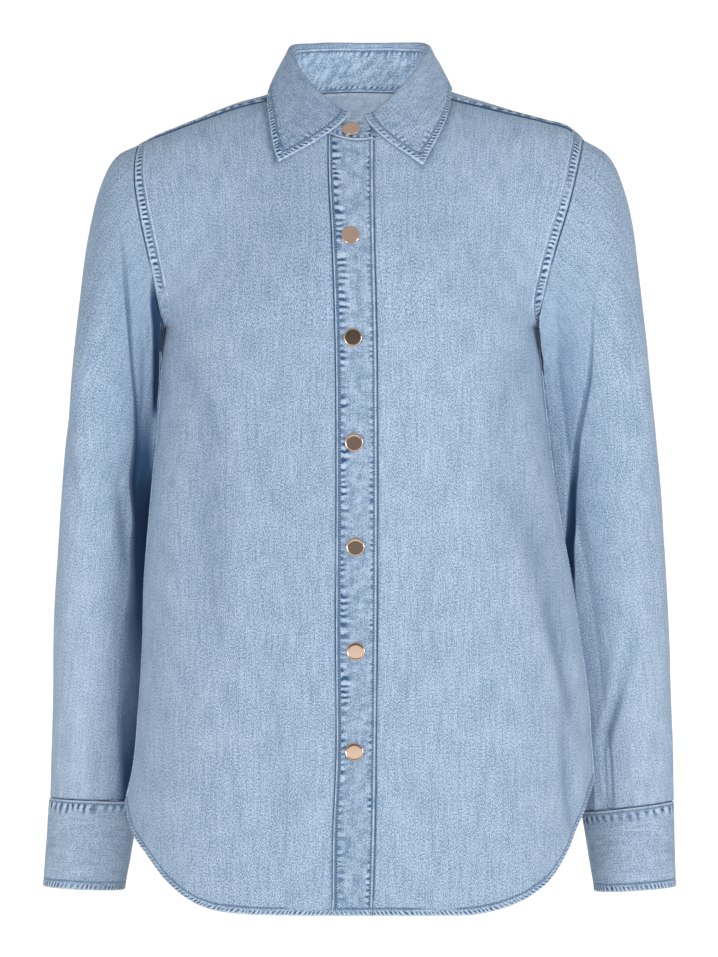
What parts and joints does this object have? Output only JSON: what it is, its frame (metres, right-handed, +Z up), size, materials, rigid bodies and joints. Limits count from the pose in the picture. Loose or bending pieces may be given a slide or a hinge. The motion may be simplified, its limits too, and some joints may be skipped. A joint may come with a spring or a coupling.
{
  "type": "denim shirt",
  "caption": "Light blue denim shirt with a turned-down collar, button front, long cuffed sleeves and a curved shirt-tail hem, filled out as worn with nobody in it.",
  "frame": {"origin": "middle of the base of the neck, level with the points where the shoulder line meets the collar", "axes": "+Z up, the shirt faces -Y, +X to the wearer's left"},
  "size_m": [0.5338, 0.2291, 0.726],
  "materials": {
    "light_denim": "soft, faded light blue denim twill",
    "rose_gold_metal": "polished rose gold"
  },
  "bodies": {
    "root": {"front_right": "light_denim", "front_left": "light_denim", "placket_right": "light_denim", "placket_left": "light_denim", "back": "light_denim", "yoke": "light_denim", "sleeve_right": "light_denim", "sleeve_left": "light_denim", "cuff_right": "light_denim", "cuff_left": "light_denim", "collar_stand": "light_denim", "collar_leaf": "light_denim", "button_1": "rose_gold_metal", "button_2": "rose_gold_metal", "button_3": "rose_gold_metal", "button_4": "rose_gold_metal", "button_5": "rose_gold_metal", "button_6": "rose_gold_metal", "button_7": "rose_gold_metal", "cuff_button_right": "rose_gold_metal", "cuff_button_left": "rose_gold_metal"}
  },
  "joints": []
}
